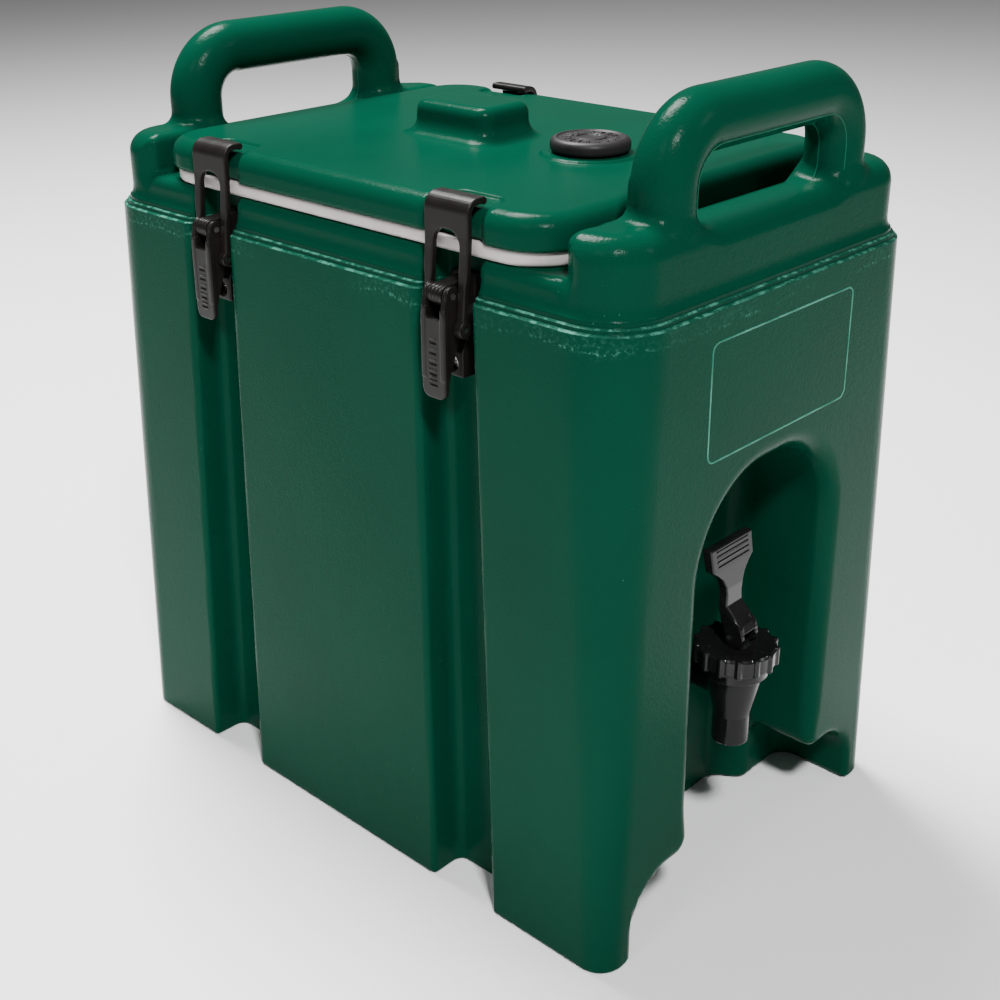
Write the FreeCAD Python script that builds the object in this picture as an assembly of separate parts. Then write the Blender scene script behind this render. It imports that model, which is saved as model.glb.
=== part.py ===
import FreeCAD, Part
import math
import os

# Insulated beverage server: a double-wall moulded body with a lift-off lid, four
# over-centre side latches, a vent cap and a lever spigot in a front recess.
# Millimetres. Origin: centre of the footprint, on the floor. The spigot faces -Y.

V = FreeCAD.Vector

# ---- driving dimensions -------------------------------------------------------
BASE_W, BASE_L = 275.0, 419.0          # footprint
LEDGE_W, LEDGE_L = 271.0, 415.0        # widest line at the top of the lower body
TOTAL_H = 467.0                        # top of the handles
LEDGE_Z = 365.0
CORNER_R = 37.0
SHELL_T = 4.0                          # outer moulded wall

STEP_INSETS = (2.2, 4.2)               # two small steps above the ledge
STEP_H = 2.4
UPPER_INSET = 6.5                      # wall of the rim and the end blocks
RIM_Z = 385.5                          # top of the rim that carries the gasket
BLOCK_Z = 408.0                        # top of the end blocks
BLOCK_T = 38.0                         # thickness of an end block, front to back
BLOCK_ROUND = 12.0

GRIP_R = 16.0                          # handle bar
GRIP_LEG_X = 76.0
GRIP_BEND_R = 29.0
SILL_Z = 400.0                         # lower edge of the hand opening

GROOVE_U = 114.5                       # latch groove floor, from the centre line
GROOVE_TOP_Y = (-93.0, 99.0)           # groove centres at the ledge
GROOVE_FOOT_Y = (-103.0, 110.0)        # groove centres at the floor
GROOVE_TOP_HALF, GROOVE_FOOT_HALF = 18.5, 23.5

RECESS_HALF, RECESS_TOP, RECESS_ARCH_R = 62.0, 267.0, 54.0
RECESS_BACK_Y = -143.0
NEST_HALF, NEST_TOP, NEST_R, NEST_DEPTH = 112.0, 47.0, 30.0, 49.0
UNDER_Z = 10.0                         # raised underside
UNDER_HALF_X, UNDER_Y = 100.0, (-128.0, 150.0)
FOAM_FLOOR_Z = 9.0                     # the feet are solid below this

TANK_HALF_TOP, TANK_HALF_FLOOR = 88.0, 84.0
TANK_Y = (-104.0, 138.0)
TANK_FLOOR_Z = 104.0
TANK_WALL = 4.0
TANK_R = 26.0
FILL_Y, FILL_R = 60.0, 12.0            # foam fill hole in the underside

LID_HALF_X, LID_HALF_Y, LID_R = 129.0, 156.0, 30.0
LID_Z0, LID_Z1 = 393.5, 411.5
LID_ROUND = 9.0
LID_WALL = 4.0
PLUG_Z = 379.0                         # bottom of the lid's step into the tank
PLUG_GAP = 1.5
LID_FOAM_INSET = 16.0
LID_FILL = (0.0, 60.0, 9.0)            # x, y, radius of the lid's fill hole
NOTCH_U, NOTCH_HALF = 124.5, 19.0      # lid edge at a latch
POCKET_U, POCKET_HALF, POCKET_Z = 106.0, 17.0, 408.2
RAISED_Y, RAISED_HALF_X, RAISED_HALF_Y = 14.0, 22.0, 32.0
RAISED_Z = 431.0
VENT_Y, VENT_R, VENT_BOSS_R, VENT_HOLE_R = -75.0, 22.5, 27.0, 6.0
VENT_Z0, VENT_T = 413.0, 8.5

GASKET_IN, GASKET_T, GASKET_LIFT = 14.0, 7.8, 0.2

LATCH_Y = (-94.0, 96.0)
PIVOT_U, PIVOT_Z = 137.0, 367.0        # lever pivot
JOINT_U, JOINT_Z = 134.0, 350.0        # bail pivot on the lever
STRAP_U, STRAP_T = 133.0, 3.5
HOOK_TOP_Z, HOOK_TIP_U = 415.2, 119.0
BAIL_HALF, WINDOW_HALF = 15.0, 9.1
LEVER_HALF, LEVER_T = 8.3, 3.2
LEVER_FACE_U, LEVER_Z0 = 143.5, 313.0
TONGUE_HALF = 4.8
PIN_R, RUN_GAP = 1.6, 0.06
SCREW_Z = (329.0, 346.5)
SCREW_R, SCREW_HEAD_R = 2.0, 4.2

SPIGOT_Y, NOZZLE_Z = -191.0, 83.0
NOZZLE_R, NOZZLE_BORE_R = 11.0, 8.3
SEAT_Z, SEAT_R, CHAMBER_R = 104.0, 10.2, 14.0
SHANK_Z, SHANK_R, SHANK_BORE_R = 119.0, 10.0, 6.5
SHANK_END_Y = -84.0
BODY_TOP_Z, BODY_TOP_R = 143.5, 18.6
BONNET_Z0, BONNET_Z1, BONNET_R = 136.5, 147.0, 23.2
RIBS, RIB_R = 14, 1.9
STEM_R, STEM_FLANGE_R = 3.0, 5.0
CAM_R, CAM_OFFSET, CAM_GAP = 6.0, 3.0, 0.3
FORK_HALF, FORK_T = 8.0, 2.7


# ---- small helpers ------------------------------------------------------------
def rect_wire(x0, x1, y0, y1, r, z):
    """Rounded rectangle in a horizontal plane."""
    k = r * math.sqrt(0.5)
    corners = ((x1 - r, y0 + r, 1, -1), (x1 - r, y1 - r, 1, 1),
               (x0 + r, y1 - r, -1, 1), (x0 + r, y0 + r, -1, -1))
    edges = []
    last = V(x0 + r, y0, z)
    for cx, cy, sx, sy in corners:
        side, front = V(cx + sx * r, cy, z), V(cx, cy + sy * r, z)
        start, end = (front, side) if sx * sy < 0 else (side, front)
        edges.append(Part.LineSegment(last, start).toShape())
        edges.append(Part.Arc(start, V(cx + sx * k, cy + sy * k, z), end).toShape())
        last = end
    return Part.Wire(Part.__sortEdges__(edges))


def slab(x0, x1, y0, y1, z0, z1, r):
    """Upright block with rounded corners."""
    face = Part.Face(rect_wire(x0, x1, y0, y1, r, z0))
    return face.extrude(V(0, 0, z1 - z0))


def tapered(lower, upper):
    return Part.makeLoft([lower, upper], True, True)


def box(x0, x1, y0, y1, z0, z1):
    return Part.makeBox(x1 - x0, y1 - y0, z1 - z0, V(x0, y0, z0))


def rod(radius, start, end):
    run = V(*end) - V(*start)
    return Part.makeCylinder(radius, run.Length, V(*start), run)


def revolved(profile, x, y):
    """Solid of revolution about the vertical line through x, y."""
    points = [V(x + r, y, z) for r, z in profile]
    face = Part.Face(Part.makePolygon(points + points[:1]))
    return face.revolve(V(x, y, 0), V(0, 0, 1), 360)


def arch_prism(half, z0, z1, r, y0, y1):
    """Doorway shape of half width and top z1, its two top corners rounded, along Y."""
    k = r * (1 - math.sqrt(0.5))
    edges = [Part.LineSegment(V(-half, y0, z0), V(half, y0, z0)).toShape(),
             Part.LineSegment(V(half, y0, z0), V(half, y0, z1 - r)).toShape(),
             Part.Arc(V(half, y0, z1 - r), V(half - k, y0, z1 - k), V(half - r, y0, z1)).toShape(),
             Part.LineSegment(V(half - r, y0, z1), V(r - half, y0, z1)).toShape(),
             Part.Arc(V(r - half, y0, z1), V(k - half, y0, z1 - k), V(-half, y0, z1 - r)).toShape(),
             Part.LineSegment(V(-half, y0, z1 - r), V(-half, y0, z0)).toShape()]
    return Part.Face(Part.Wire(edges)).extrude(V(0, y1 - y0, 0))


def side_prism(points, side, y0, y1):
    """Polygon given as (distance out from the centre line, z), extruded along Y."""
    corners = [V(side * u, y0, z) for u, z in points]
    face = Part.Face(Part.makePolygon(corners + corners[:1]))
    return face.extrude(V(0, y1 - y0, 0))


def softened(shape, radius, wanted):
    """Round the edges for which wanted(edge) is true."""
    edges = [e for e in shape.Edges if wanted(e)]
    return shape.makeFillet(radius, edges)


def at_latches():
    return [(side, y) for side in (-1, 1) for y in LATCH_Y]


def flat_at(e, z):
    return abs(e.BoundBox.ZMin - z) < 1e-3 and abs(e.BoundBox.ZMax - z) < 1e-3


# ---- body ---------------------------------------------------------------------
def outer_lower(inset, z0, z1):
    """Lower body, drawn in by inset all round, from z0 to z1."""
    def wire(z):
        t = z / LEDGE_Z
        hx = (BASE_W + (LEDGE_W - BASE_W) * t) / 2 - inset
        hy = (BASE_L + (LEDGE_L - BASE_L) * t) / 2 - inset
        return rect_wire(-hx, hx, -hy, hy, CORNER_R - inset, z)
    return tapered(wire(z0), wire(z1))


def grooves(grow, z1):
    """The four latch grooves as cutters, larger by grow on the inner sides."""
    cutters = []
    for side in (-1, 1):
        for top, foot in zip(GROOVE_TOP_Y, GROOVE_FOOT_Y):
            slope = (foot - top) / LEDGE_Z
            spread = (GROOVE_FOOT_HALF - GROOVE_TOP_HALF) / LEDGE_Z
            points = []
            for z, ends in ((-20.0, (-1, 1)), (z1, (1, -1))):
                centre = top + slope * (LEDGE_Z - z)
                half = GROOVE_TOP_HALF + spread * (LEDGE_Z - z) + grow
                points += [V(side * (GROOVE_U - grow), centre + e * half, z) for e in ends]
            face = Part.Face(Part.makePolygon(points + points[:1]))
            cutters.append(face.extrude(V(side * 60, 0, 0)))
    return cutters


def hollows(grow):
    """Front recess, stacking nests and raised underside, larger by grow."""
    reach = BASE_L / 2 + 10
    cutters = [arch_prism(RECESS_HALF + grow, -20, RECESS_TOP + grow, RECESS_ARCH_R + grow,
                          -reach, RECESS_BACK_Y + grow)]
    nest_y = BASE_L / 2 - NEST_DEPTH - grow
    for near, far in ((-reach, -nest_y), (nest_y, reach)):
        cutters.append(arch_prism(NEST_HALF + grow, -20, NEST_TOP + grow, NEST_R + grow, near, far))
    under = UNDER_Z + grow
    cutters.append(box(-UNDER_HALF_X - grow, UNDER_HALF_X + grow,
                       UNDER_Y[0] - grow, UNDER_Y[1] + grow, -20, under))
    for side in (-1, 1):
        for foot in GROOVE_FOOT_Y:
            lo, hi = sorted((side * (UNDER_HALF_X - 1), side * (GROOVE_U + 1)))
            half = GROOVE_FOOT_HALF + grow
            cutters.append(box(lo, hi, foot - half, foot + half, -20, under))
    return cutters


def tank(grow, z1):
    """Liquid space, or its wall's outside when grown."""
    def wire(half, z):
        return rect_wire(-half, half, TANK_Y[0] - grow, TANK_Y[1] + grow, TANK_R + grow, z)
    return tapered(wire(TANK_HALF_FLOOR + grow, TANK_FLOOR_Z - grow), wire(TANK_HALF_TOP + grow, z1))


def end_block(end):
    """Raised block under a handle, with the sill of the hand opening."""
    hx = LEDGE_W / 2 - UPPER_INSET
    hy = LEDGE_L / 2 - UPPER_INSET
    whole = slab(-hx, hx, -hy, hy, LEDGE_Z - 1, BLOCK_Z, CORNER_R - UPPER_INSET)
    whole = softened(whole, BLOCK_ROUND, lambda e: flat_at(e, BLOCK_Z))
    lo, hi = sorted((end * (hy - BLOCK_T), end * (hy + 5)))
    block = whole.common(box(-hx - 5, hx + 5, lo, hi, LEDGE_Z - 5, BLOCK_Z + 5))
    middle = GRIP_LEG_X - GRIP_R
    sill_r = BLOCK_T / 2
    block = block.cut(box(-middle, middle, lo - 1, hi + 1, SILL_Z - sill_r, BLOCK_Z + 1))
    y = end * (hy - sill_r)
    sill = rod(sill_r, (-GRIP_LEG_X, y, SILL_Z - sill_r), (GRIP_LEG_X, y, SILL_Z - sill_r))
    return block.fuse(sill)


def handle(end):
    """Bar bent into an arch, rooted in an end block."""
    y = end * (LEDGE_L / 2 - UPPER_INSET - BLOCK_T / 2)
    x, r, top = GRIP_LEG_X, GRIP_BEND_R, TOTAL_H - GRIP_R
    k = r * (1 - math.sqrt(0.5))
    foot = BLOCK_Z - 30
    path = Part.Wire([Part.LineSegment(V(-x, y, foot), V(-x, y, top - r)).toShape(),
                      Part.Arc(V(-x, y, top - r), V(k - x, y, top - k), V(r - x, y, top)).toShape(),
                      Part.LineSegment(V(r - x, y, top), V(x - r, y, top)).toShape(),
                      Part.Arc(V(x - r, y, top), V(x - k, y, top - k), V(x, y, top - r)).toShape(),
                      Part.LineSegment(V(x, y, top - r), V(x, y, foot)).toShape()])
    ring = Part.Wire([Part.makeCircle(GRIP_R, V(-x, y, foot), V(0, 0, 1))])
    return path.makePipeShell([ring], True, False)


def foam_space(gap):
    """Space between the two walls of the body."""
    space = outer_lower(SHELL_T + gap, FOAM_FLOOR_Z, LEDGE_Z - SHELL_T)
    for cutter in grooves(SHELL_T + gap, LEDGE_Z) + hollows(SHELL_T + gap):
        space = space.cut(cutter)
    space = space.cut(tank(TANK_WALL + gap, LEDGE_Z + 5))
    sleeve = rod(SHANK_R + SHELL_T, (0, RECESS_BACK_Y - 5, SHANK_Z), (0, TANK_Y[0] + 5, SHANK_Z))
    space = space.cut(sleeve)
    return max(space.Solids, key=lambda s: s.Volume)


def screw_holes(side, y):
    """What the two screws of a latch base take from the body and its foam."""
    return [rod(SCREW_R, (side * (GROOVE_U + 1), y, z), (side * (GROOVE_U - 12), y, z)) for z in SCREW_Z]


def body_shell(foam):
    shell = outer_lower(0, 0, LEDGE_Z)
    for n, inset in enumerate(STEP_INSETS):
        hx, hy = LEDGE_W / 2 - inset, LEDGE_L / 2 - inset
        top = LEDGE_Z + (n + 1) * STEP_H
        shell = shell.fuse(slab(-hx, hx, -hy, hy, LEDGE_Z - 1, top, CORNER_R - inset))
    hx, hy = LEDGE_W / 2 - UPPER_INSET, LEDGE_L / 2 - UPPER_INSET
    shell = shell.fuse(slab(-hx, hx, -hy, hy, LEDGE_Z - 1, RIM_Z, CORNER_R - UPPER_INSET))
    for end in (-1, 1):
        shell = shell.fuse(end_block(end)).fuse(handle(end))
    for cutter in grooves(0, BLOCK_Z) + hollows(0):
        shell = shell.cut(cutter)
    shell = shell.cut(tank(0, RIM_Z + 5))
    shell = shell.cut(foam)
    bore_ends = (0, RECESS_BACK_Y - 5, SHANK_Z), (0, TANK_Y[0] + 5, SHANK_Z)
    shell = shell.cut(rod(SHANK_R + RUN_GAP, *bore_ends))
    shell = shell.cut(rod(FILL_R, (0, FILL_Y, 0), (0, FILL_Y, UNDER_Z + SHELL_T)))
    for side, y in at_latches():
        shell = shell.cut(screw_holes(side, y))
    return shell.removeSplitter()


def body_foam(foam):
    for side, y in at_latches():
        foam = foam.cut(screw_holes(side, y))
    return foam


def disc_plug(x, y, z0, z1, radius):
    return rod(radius, (x, y, z0), (x, y, z1))


# ---- lid ----------------------------------------------------------------------
def plug_bounds():
    half = TANK_HALF_TOP - PLUG_GAP
    return -half, half, TANK_Y[0] + PLUG_GAP, TANK_Y[1] - PLUG_GAP


def lid_foam():
    """Foam core of the lid, clear of the vent tube."""
    hx, hy = LID_HALF_X - LID_FOAM_INSET - LID_WALL, LID_HALF_Y - LID_FOAM_INSET
    core = slab(-hx, hx, -hy, hy, LID_Z0 + LID_WALL, POCKET_Z - LID_WALL, LID_R - LID_WALL)
    x0, x1, y0, y1 = plug_bounds()
    core = core.fuse(slab(x0 + LID_WALL, x1 - LID_WALL, y0 + LID_WALL, y1 - LID_WALL,
                          PLUG_Z + LID_WALL, LID_Z0 + LID_WALL + 1, TANK_R - PLUG_GAP - LID_WALL))
    core = core.cut(rod(VENT_HOLE_R + LID_WALL, (0, VENT_Y, PLUG_Z - 1), (0, VENT_Y, LID_Z1 + 5)))
    return core.removeSplitter()


def lid_shell(foam):
    lid = slab(-LID_HALF_X, LID_HALF_X, -LID_HALF_Y, LID_HALF_Y, LID_Z0, LID_Z1, LID_R)
    lid = softened(lid, LID_ROUND, lambda e: flat_at(e, LID_Z1))
    raised = slab(-RAISED_HALF_X, RAISED_HALF_X, RAISED_Y - RAISED_HALF_Y, RAISED_Y + RAISED_HALF_Y,
                  LID_Z1 - 2, RAISED_Z, 9)
    lid = lid.fuse(softened(raised, 6.0, lambda e: flat_at(e, RAISED_Z)))
    lid = lid.fuse(rod(VENT_BOSS_R, (0, VENT_Y, LID_Z1 - 1), (0, VENT_Y, VENT_Z0)))
    x0, x1, y0, y1 = plug_bounds()
    lid = lid.fuse(slab(x0, x1, y0, y1, PLUG_Z, LID_Z0 + 1, TANK_R - PLUG_GAP))
    for side, y in at_latches():
        lo, hi = sorted((side * NOTCH_U, side * (LID_HALF_X + 5)))
        lid = lid.cut(box(lo, hi, y - NOTCH_HALF, y + NOTCH_HALF, LID_Z0 - 1, LID_Z1 + 1))
        lo, hi = sorted((side * POCKET_U, side * (LID_HALF_X + 5)))
        lid = lid.cut(box(lo, hi, y - POCKET_HALF, y + POCKET_HALF, POCKET_Z, LID_Z1 + 1))
    lid = lid.cut(foam)
    lid = lid.cut(rod(VENT_HOLE_R, (0, VENT_Y, PLUG_Z - 5), (0, VENT_Y, VENT_Z0 + 5)))
    x, y, r = LID_FILL
    return lid.cut(rod(r, (x, y, PLUG_Z - 1), (x, y, PLUG_Z + LID_WALL))).removeSplitter()


def lid_gasket():
    hx, hy = LID_HALF_X - 2.0, LID_HALF_Y - 2.0
    z0 = RIM_Z + GASKET_LIFT
    ring = slab(-hx, hx, -hy, hy, z0, LID_Z0, LID_R)
    hx, hy = hx - GASKET_IN, hy - GASKET_IN
    inner = slab(-hx, hx, -hy, hy, z0 - 1, LID_Z0 + 1, LID_R - GASKET_IN + 2)
    return softened(ring, 2.2, lambda e: flat_at(e, z0)).cut(inner)


def vent_cap():
    top = VENT_Z0 + VENT_T
    disc = rod(VENT_R, (0, VENT_Y, VENT_Z0 + 0.2), (0, VENT_Y, top))
    disc = softened(disc, 3.6, lambda e: flat_at(e, top) or flat_at(e, VENT_Z0 + 0.2))
    ring = rod(VENT_R - 5, (0, VENT_Y, top - 1.2), (0, VENT_Y, top + 1))
    ring = ring.cut(rod(VENT_R - 8, (0, VENT_Y, top - 2), (0, VENT_Y, top + 2)))
    stem = rod(VENT_HOLE_R - RUN_GAP, (0, VENT_Y, PLUG_Z + 2), (0, VENT_Y, VENT_Z0 + 2))
    groove = rod(VENT_HOLE_R, (0, VENT_Y, PLUG_Z + 5), (0, VENT_Y, PLUG_Z + 7.4))
    groove = groove.cut(rod(VENT_HOLE_R - 1.6, (0, VENT_Y, PLUG_Z + 4), (0, VENT_Y, PLUG_Z + 9)))
    return disc.cut(ring).fuse(stem).cut(groove)


def vent_seal():
    ring_r = VENT_HOLE_R - 0.85
    return Part.makeTorus(ring_r, 0.68, V(0, VENT_Y, PLUG_Z + 6.2))


# ---- latches ------------------------------------------------------------------
def latch_base(side, y):
    plate = side_prism([(GROOVE_U, 320), (GROOVE_U + 3.5, 320), (GROOVE_U + 3.5, 374), (GROOVE_U, 374)],
                       side, y - 13, y + 13)
    outline = [(GROOVE_U, 322), (130.5, 322), (130.5, 336), (127, 342), (127, 356), (GROOVE_U, 360)]
    block = side_prism(outline, side, y - 8.2, y + 8.2)
    tongue = side_prism([(GROOVE_U, 352), (127, 352), (PIVOT_U + 2, PIVOT_Z - 4.2),
                         (PIVOT_U, PIVOT_Z + 4.9), (GROOVE_U, 374)], side, y - TONGUE_HALF, y + TONGUE_HALF)
    eye = rod(5.0, (side * PIVOT_U, y - TONGUE_HALF, PIVOT_Z), (side * PIVOT_U, y + TONGUE_HALF, PIVOT_Z))
    base = plate.fuse([block, tongue, eye])
    base = base.cut(cross_rod(PIN_R, side, y, PIVOT_U, PIVOT_Z, 20))
    for z in SCREW_Z:
        base = base.cut(rod(SCREW_R, (side * (GROOVE_U - 1), y, z), (side * 140, y, z)))
        base = base.cut(rod(SCREW_HEAD_R + 0.3, (side * 124, y, z), (side * 140, y, z)))
    return base.removeSplitter()


def latch_screws(side, y):
    screws = []
    for z in SCREW_Z:
        shank = rod(SCREW_R, (side * (GROOVE_U - 10), y, z), (side * 125, y, z))
        head = rod(SCREW_HEAD_R, (side * 124, y, z), (side * 126.4, y, z))
        cross = box(-0.5, 0.5, y - 2.4, y + 2.4, z - 0.5, z + 0.5)
        cross = cross.fuse(box(-0.5, 0.5, y - 0.5, y + 0.5, z - 2.4, z + 2.4))
        cross.translate(V(side * 126.4, 0, 0))
        screws.append(shank.fuse(head).cut(cross))
    return Part.makeCompound(screws)


def cross_rod(radius, side, y, u, z, half):
    """Rod along Y through a latch, half long to each side of its middle."""
    return rod(radius, (side * u, y - half, z), (side * u, y + half, z))


def lever_pin(side, y):
    return cross_rod(PIN_R, side, y, PIVOT_U, PIVOT_Z, LEVER_HALF + 0.4)


def latch_lever(side, y):
    """Face plate with two cheeks that carry both pivots."""
    face, back = LEVER_FACE_U, LEVER_FACE_U - LEVER_T
    plate = side_prism([(back, LEVER_Z0), (face, LEVER_Z0), (face, 360.5), (back, 360.5)],
                       side, y - LEVER_HALF, y + LEVER_HALF)
    foot = [e for e in plate.Edges if abs(e.CenterOfMass.z - LEVER_Z0) < 0.01 and e.Length < LEVER_T + 0.5]
    plate = plate.makeFillet(5.5, foot)
    outline = [(back, 322), (face, 322), (face, 362), (PIVOT_U + 4.6, PIVOT_Z + 1.5),
               (PIVOT_U, PIVOT_Z + 4.6), (PIVOT_U - 4.6, PIVOT_Z), (JOINT_U - 4.0, JOINT_Z + 1), (JOINT_U - 3.0, JOINT_Z - 3.5)]
    lever = plate
    for inner, outer in ((-LEVER_HALF, -LEVER_HALF + 2.9), (LEVER_HALF - 2.9, LEVER_HALF)):
        lever = lever.fuse(side_prism(outline, side, y + inner, y + outer))
    lever = lever.cut(cross_rod(PIN_R + RUN_GAP, side, y, PIVOT_U, PIVOT_Z, 20))
    lever = lever.cut(cross_rod(PIN_R + RUN_GAP, side, y, JOINT_U, JOINT_Z, 20))
    return lever.removeSplitter()


def latch_bail(side, y):
    """Strap with a window between its legs and a hook at the top."""
    top, u1 = HOOK_TOP_Z, STRAP_U
    r = 6.0
    k = r * (1 - math.sqrt(0.5))
    inner = u1 - STRAP_T
    under = top - STRAP_T
    outer = [(JOINT_U + 3.2, JOINT_Z - 3.2), (JOINT_U + 4.3, JOINT_Z), (u1, 392), (u1, top - r),
             (u1 - k, top - k), (u1 - r, top), (HOOK_TIP_U + 1.5, top), (HOOK_TIP_U, top - 1.2)]
    back = [(HOOK_TIP_U, under - 0.7), (HOOK_TIP_U + 2.2, under - 0.7), (HOOK_TIP_U + 3.2, under),
            (inner - 2.5, under), (inner, under - 2.5), (inner - 0.4, 392), (JOINT_U - 3.6, JOINT_Z + 1),
            (JOINT_U - 3.0, JOINT_Z - 3.2), (JOINT_U, JOINT_Z - 4.4)]
    outline = outer + back
    bail = side_prism(outline, side, y - BAIL_HALF, y + BAIL_HALF)
    window = slab(-WINDOW_HALF, WINDOW_HALF, 0, 70, -40, 40, 6.0)
    window.rotate(V(0, 0, 0), V(1, 0, 0), 90)
    window.rotate(V(0, 0, 0), V(0, 0, 1), 90)
    window.translate(V(side * 130, y, 328))
    bail = bail.cut(window)
    for dy in (-BAIL_HALF, BAIL_HALF):
        x0, x1 = side * 130 - 20, side * 130 + 20
        bail = bail.cut(box(x0, x1, y + dy - 0.8, y + dy + 0.8, JOINT_Z - 10, 376))
    bail = bail.cut(cross_rod(PIN_R, side, y, JOINT_U, JOINT_Z, 20))
    return bail.removeSplitter()


def bail_pin(side, y):
    return cross_rod(PIN_R, side, y, JOINT_U, JOINT_Z, BAIL_HALF - 0.9)


# ---- spigot -------------------------------------------------------------------
CAM_Z = BONNET_Z1 + CAM_R + CAM_GAP    # height of the lever's pin


def spigot_body():
    outside = [(NOZZLE_BORE_R, NOZZLE_Z), (NOZZLE_R, NOZZLE_Z), (NOZZLE_R, 101), (16.6, 127),
               (19.6, 129), (19.6, 135.5), (BODY_TOP_R, 135.5), (BODY_TOP_R, BODY_TOP_Z)]
    chamber = [(SEAT_R, SEAT_Z), (SEAT_R, SEAT_Z + 4), (CHAMBER_R, 126), (CHAMBER_R, BODY_TOP_Z)]
    valve = revolved(outside + chamber[::-1] + [(NOZZLE_BORE_R, SEAT_Z)], 0, SPIGOT_Y)
    shank = rod(SHANK_R, (0, SPIGOT_Y + CHAMBER_R - 1, SHANK_Z), (0, SHANK_END_Y, SHANK_Z))
    collar = rod(15.5, (0, RECESS_BACK_Y - 8, SHANK_Z), (0, RECESS_BACK_Y - 3, SHANK_Z))
    room = revolved(chamber + [(0, BODY_TOP_Z), (0, SEAT_Z)], 0, SPIGOT_Y)
    bore = rod(SHANK_BORE_R, (0, SPIGOT_Y, SHANK_Z), (0, SHANK_END_Y + 1, SHANK_Z))
    return valve.fuse([shank, collar]).cut(room).cut(bore).removeSplitter()


def spigot_bonnet():
    profile = [(BODY_TOP_R + 0.1, BONNET_Z0), (BONNET_R, BONNET_Z0), (BONNET_R, BONNET_Z1 - 1.5),
               (BONNET_R - 1.5, BONNET_Z1), (STEM_R + 0.08, BONNET_Z1), (STEM_R + 0.08, BODY_TOP_Z + 0.1),
               (BODY_TOP_R + 0.1, BODY_TOP_Z + 0.1)]
    cap = revolved(profile, 0, SPIGOT_Y)
    for n in range(RIBS):
        a = 2 * math.pi * (n + 0.5) / RIBS
        x, y = (BONNET_R - 0.6) * math.cos(a), SPIGOT_Y + (BONNET_R - 0.6) * math.sin(a)
        cap = cap.fuse(rod(RIB_R, (x, y, BONNET_Z0), (x, y, BONNET_Z1 - 0.6)))
    return cap.removeSplitter()


def spigot_stem():
    """Rod from the seat cup up to the lever's pin."""
    stem = rod(STEM_R, (0, SPIGOT_Y, SEAT_Z + 4), (0, SPIGOT_Y, CAM_Z + 3.2))
    stem = stem.fuse(rod(STEM_FLANGE_R, (0, SPIGOT_Y, SEAT_Z + 7), (0, SPIGOT_Y, SEAT_Z + 8.6)))
    return stem.cut(rod(1.5, (-10, SPIGOT_Y, CAM_Z), (10, SPIGOT_Y, CAM_Z)))


def seat_cup():
    rim = SEAT_R - 0.5
    above_seat = [(STEM_R, 4), (0, 4), (0, 0.1), (rim, 0.1), (rim, 5.5), (7.4, 9.0), (5.0, 10.2),
                  (STEM_R, 10.2), (STEM_R, 8.6), (STEM_FLANGE_R, 8.6), (STEM_FLANGE_R, 7), (STEM_R, 7)]
    return revolved([(r, SEAT_Z + h) for r, h in above_seat], 0, SPIGOT_Y)


def spigot_lever_pin():
    half = FORK_HALF - 0.2
    return rod(1.5, (-half, SPIGOT_Y, CAM_Z), (half, SPIGOT_Y, CAM_Z))


def from_side(line, x0, x1):
    """Outline given as (distance behind the spigot's axis, z), extruded along X."""
    corners = [V(x0, SPIGOT_Y + dy, z) for dy, z in line]
    return Part.Face(Part.makePolygon(corners + corners[:1])).extrude(V(x1 - x0, 0, 0))


def spigot_lever():
    """Fork astride the stem, a bend, a waisted neck and a paddle."""
    y, z, half = SPIGOT_Y, CAM_Z, FORK_HALF
    front_line = [(-4.6, 163.5), (-1.4, 167.2), (3.6, 172.5), (3.2, 183), (5.0, 196.0), (7.4, 209.5)]
    back_line = [(13.2, 209.0), (11.0, 195.5), (9.0, 183), (9.4, 170.5), (6.5, 163), (3, 160)]
    web = from_side(front_line + back_line, -25, 25)
    edge = [(half, 158), (half, 173), (7.4, 180), (9.6, 188), (14.6, 193.5), (20, 196), (20, 209), (18.8, 210.5)]
    outline = [V(px, y - 30, pz) for px, pz in edge] + [V(-px, y - 30, pz) for px, pz in reversed(edge)]
    lever = web.common(Part.Face(Part.makePolygon(outline + outline[:1])).extrude(V(0, 60, 0)))
    cheek = [(-CAM_OFFSET - CAM_R, z), (-6.2, 162.2), (-4.6, 163.5), (3, 168), (6.5, 163), (1.5, z)]
    for x0 in (-half, half - FORK_T):
        cam = rod(CAM_R, (x0, y - CAM_OFFSET, z), (x0 + FORK_T, y - CAM_OFFSET, z))
        lever = lever.fuse([from_side(cheek, x0, x0 + FORK_T), cam])
    bridge = [(-8.6, 156.5), (-6.2, 162.2), (-4.6, 163.5), (-1, 163.5), (-3.0, 161.5), (-6.0, 156.5)]
    lever = lever.fuse(from_side(bridge, -half, half))
    lever = lever.cut(rod(STEM_R + 1.4, (0, y, 150), (0, y, z + 6)))
    return lever.cut(rod(1.5 + RUN_GAP, (-20, y, z), (20, y, z))).removeSplitter()


def washer(y0, y1, radius):
    ring = rod(radius, (0, y0, SHANK_Z), (0, y1, SHANK_Z))
    return ring.cut(rod(SHANK_R + RUN_GAP, (0, y0 - 1, SHANK_Z), (0, y1 + 1, SHANK_Z)))


def lock_nut(y0, y1, across):
    radius = across / math.sqrt(3)
    angles = [math.radians(60 * n) for n in range(6)]
    points = [V(radius * math.cos(a), y0, SHANK_Z + radius * math.sin(a)) for a in angles]
    nut = Part.Face(Part.makePolygon(points + points[:1])).extrude(V(0, y1 - y0, 0))
    return nut.cut(rod(SHANK_R + RUN_GAP, (0, y0 - 1, SHANK_Z), (0, y1 + 1, SHANK_Z)))


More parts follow.
